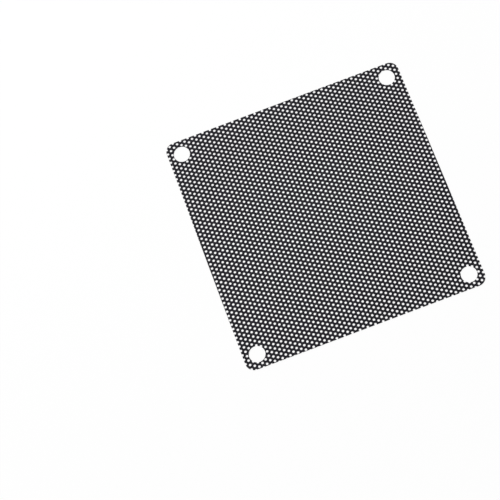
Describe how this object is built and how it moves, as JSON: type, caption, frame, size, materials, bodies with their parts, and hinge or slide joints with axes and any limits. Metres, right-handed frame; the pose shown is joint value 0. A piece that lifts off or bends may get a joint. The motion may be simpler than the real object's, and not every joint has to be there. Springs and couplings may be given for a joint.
{
  "type": "perforated fan dust filter sheet",
  "caption": "Thin square perforated plastic sheet that screws over a computer case fan to keep dust out.",
  "frame": {"origin": "middle of the sheet's lower face, the face that lies against the fan", "axes": "+Z out of the sheet on the screw-head side, +X and +Y along its straight edges, with the close rows of the perforation running almost along Y"},
  "size_m": [0.0808, 0.0808, 0.0003],
  "materials": {
    "black_pvc": "satin"
  },
  "bodies": {
    "root": {"mesh_sheet": "black_pvc"}
  },
  "joints": []
}
